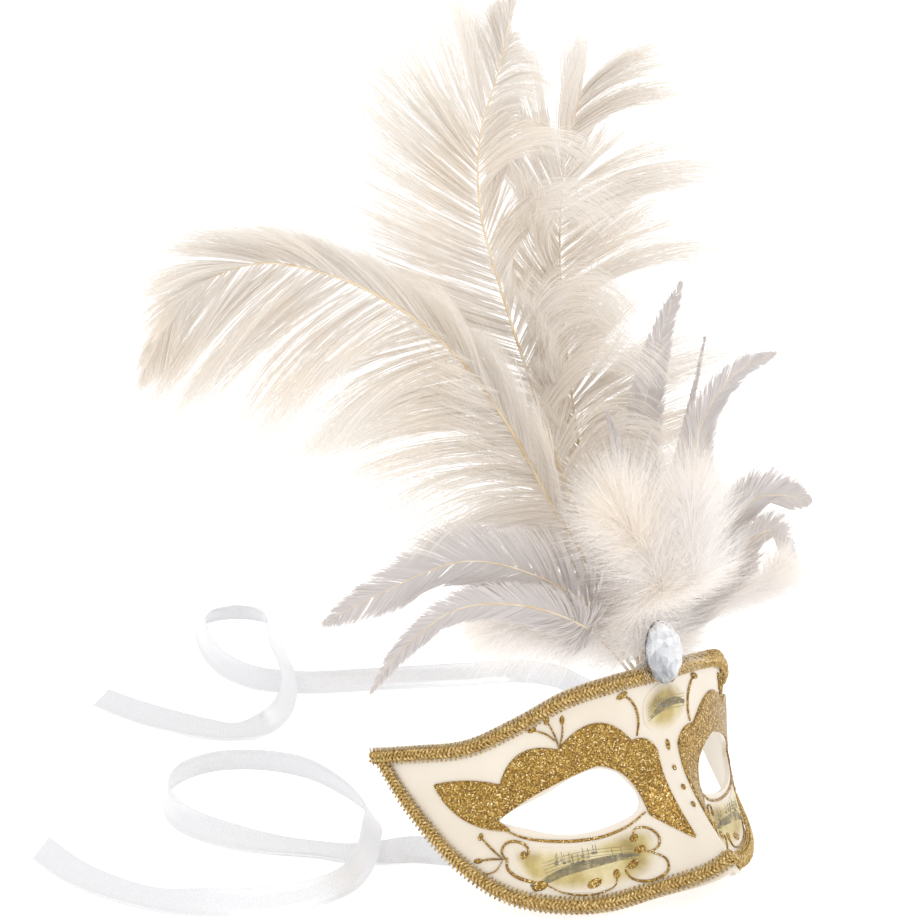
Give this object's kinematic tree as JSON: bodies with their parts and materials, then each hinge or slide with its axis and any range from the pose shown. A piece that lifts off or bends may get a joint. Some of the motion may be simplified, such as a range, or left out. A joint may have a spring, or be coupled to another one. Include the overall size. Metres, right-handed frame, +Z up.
{
  "type": "venetian masquerade mask",
  "caption": "Ivory half mask with gold braid and glitter, an oval jewel, a tall plume of white feathers and satin tie ribbons.",
  "frame": {"origin": "on the midline at the eye line, where the bridge of the wearer's nose sits in the mask", "axes": "+Z up, -Y the way the wearer looks, +X the wearer's left"},
  "size_m": [0.3393, 0.4284, 0.3139],
  "materials": {
    "shell_plastic": "painted ivory, satin",
    "gold_braid": "metallic gold gimp braid",
    "gold_glitter": "coarse gold glitter glue",
    "score_paper": "aged sheet-music paper, varnished",
    "card": "plain white card",
    "foil": "silver foil backing",
    "stone": "clear cut stone",
    "ostrich": "ivory ostrich feather",
    "hackle": "white cock feather",
    "marabou": "white marabou down",
    "satin": "white satin ribbon"
  },
  "bodies": {
    "root": {"mask_shell": "shell_plastic", "braid_upper": "gold_braid", "braid_lower": "gold_braid", "glitter_right": "gold_glitter", "cheek_paper_right": "score_paper", "glitter_left": "gold_glitter", "cheek_paper_left": "score_paper", "brow_paper": "score_paper", "feather_card": "card", "jewel_foil_back": "foil", "jewel_stone": "stone", "ostrich_plume_right": "ostrich", "ostrich_plume_centre": "ostrich", "ostrich_plume_left": "ostrich", "hackle_tall": "hackle", "hackle_thin": "hackle", "hackle_behind": "hackle", "hackle_right_high": "hackle", "hackle_right": "hackle", "hackle_left_high": "hackle", "hackle_left_low": "hackle", "hackle_right_low": "hackle", "marabou_back": "marabou", "marabou_left": "marabou", "marabou_front": "marabou", "marabou_right": "marabou", "ribbon_right": "satin", "ribbon_left": "satin"}
  },
  "joints": []
}
